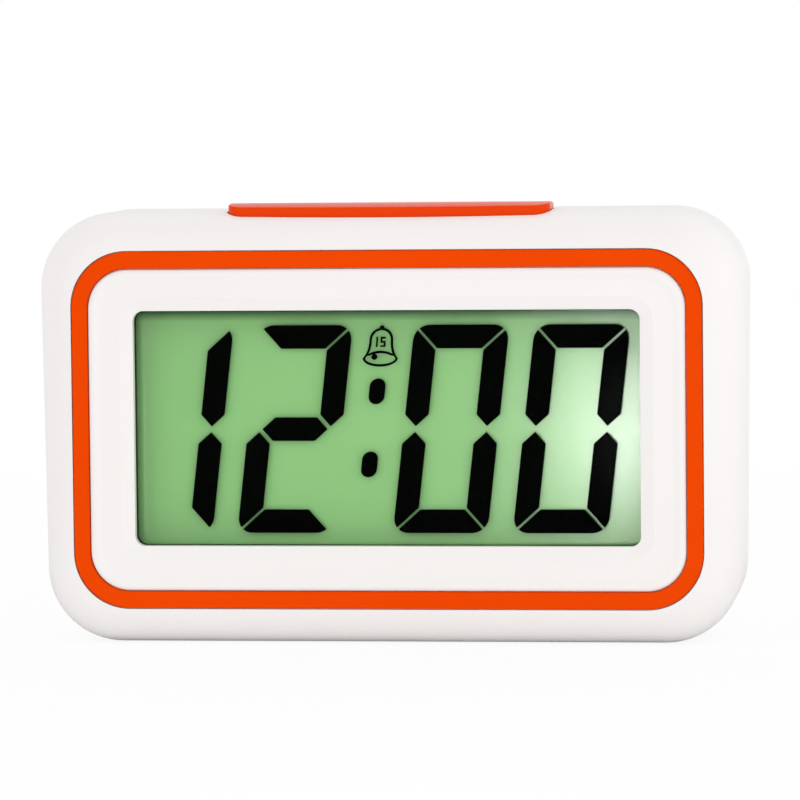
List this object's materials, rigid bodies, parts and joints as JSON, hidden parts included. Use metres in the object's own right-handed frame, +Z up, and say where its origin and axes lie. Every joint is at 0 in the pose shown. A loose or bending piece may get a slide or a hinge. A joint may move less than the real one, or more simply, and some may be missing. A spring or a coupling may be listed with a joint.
{
  "type": "talking_clock",
  "caption": "White talking desk clock with an orange ring round a large digital display, an orange talk button on top, and setting buttons, speaker and battery door at the back.",
  "frame": {"origin": "centre of the flat base, under the middle of the depth, on the surface that it stands on", "axes": "+X to the right of someone who faces the display; the display faces -Y; +Z up"},
  "size_m": [0.1304, 0.0388, 0.0811],
  "materials": {
    "white_plastic": "satin",
    "orange_plastic": "satin",
    "grey_plastic": "satin",
    "clear_window": "polished",
    "glass": "polished",
    "green_reflector": "matte",
    "black_segments": "matte",
    "inner_plastic": "matte",
    "silicone_rubber": "matte",
    "circuit_board": "satin",
    "black_resin": "satin",
    "component_tan": "matte",
    "steel": "satin",
    "magnet_iron": "matte",
    "paper_cone": "matte",
    "black_foam": "matte",
    "cell_jacket": "satin",
    "red_wire": "satin",
    "black_wire": "satin"
  },
  "bodies": {
    "casing": {"front_shell": "white_plastic", "trim_ring": "orange_plastic", "display_window": "clear_window", "rear_shell": "white_plastic", "casing_screws": "steel", "lcd_gasket": "black_foam", "lcd_front_polarizer": "clear_window", "lcd_front_glass": "glass", "lcd_seal": "glass", "lcd_hour_digits": "black_segments", "lcd_minute_digits": "black_segments", "lcd_colon": "black_segments", "lcd_alarm_symbol": "black_segments", "lcd_rear_glass": "glass", "lcd_reflector": "green_reflector", "lcd_frame": "inner_plastic", "zebra_connector": "silicone_rubber", "main_board": "circuit_board", "main_board_screws": "steel", "clock_chip": "black_resin", "voice_chip": "black_resin", "quartz_crystal": "steel", "resistors": "component_tan", "ceramic_capacitors": "component_tan", "electrolytic_capacitor": "black_resin", "speaker_transistor": "black_resin", "talk_springs": "steel", "talk_dome": "silicone_rubber", "talk_board": "circuit_board", "talk_board_screws": "steel", "talk_wires": "black_wire", "rear_keypad": "silicone_rubber", "key_board": "circuit_board", "key_board_screws": "steel", "key_wires": "black_wire", "battery_1": "cell_jacket", "battery_2": "cell_jacket", "battery_springs": "steel", "battery_plates": "steel", "battery_link": "steel", "battery_wire_red": "red_wire", "battery_wire_black": "black_wire", "speaker_frame": "steel", "speaker_magnet": "magnet_iron", "speaker_cone": "paper_cone", "speaker_gasket": "black_foam", "speaker_terminals": "circuit_board", "speaker_clamp": "inner_plastic", "speaker_screws": "steel", "speaker_wires": "red_wire"},
    "talk_button_body": {"talk_button": "orange_plastic"},
    "set_button_body": {"set_button": "grey_plastic"},
    "hour_button_body": {"hour_button": "grey_plastic"},
    "minute_button_body": {"minute_button": "grey_plastic"},
    "alarm_button_body": {"alarm_button": "grey_plastic"},
    "battery_door_body": {"battery_door": "white_plastic"}
  },
  "joints": [
    {"name": "talk_button_press", "type": "slide", "parent": "casing", "child": "talk_button_body", "axis": [0, 0, -1], "range_m": [0, 0.0012], "stiffness_N_per_m": 800, "springref_m": -0.0008, "deforming": ["talk_springs", "talk_dome"]},
    {"name": "set_button_press", "type": "slide", "parent": "casing", "child": "set_button_body", "axis": [0, -1, 0], "range_m": [0, 0.0008], "stiffness_N_per_m": 1500, "springref_m": -0.0003, "deforming": ["rear_keypad"]},
    {"name": "hour_button_press", "type": "slide", "parent": "casing", "child": "hour_button_body", "axis": [0, -1, 0], "range_m": [0, 0.0008], "stiffness_N_per_m": 1500, "springref_m": -0.0003, "deforming": ["rear_keypad"]},
    {"name": "minute_button_press", "type": "slide", "parent": "casing", "child": "minute_button_body", "axis": [0, -1, 0], "range_m": [0, 0.0008], "stiffness_N_per_m": 1500, "springref_m": -0.0003, "deforming": ["rear_keypad"]},
    {"name": "alarm_button_press", "type": "slide", "parent": "casing", "child": "alarm_button_body", "axis": [0, -1, 0], "range_m": [0, 0.0008], "stiffness_N_per_m": 1500, "springref_m": -0.0003, "deforming": ["rear_keypad"]},
    {"name": "battery_door_hinge", "type": "hinge", "parent": "casing", "child": "battery_door_body", "pos_m": [-0.016, 0.0169, 0.01285], "axis": [-1, 0, 0], "range_deg": [0, 80]}
  ]
}
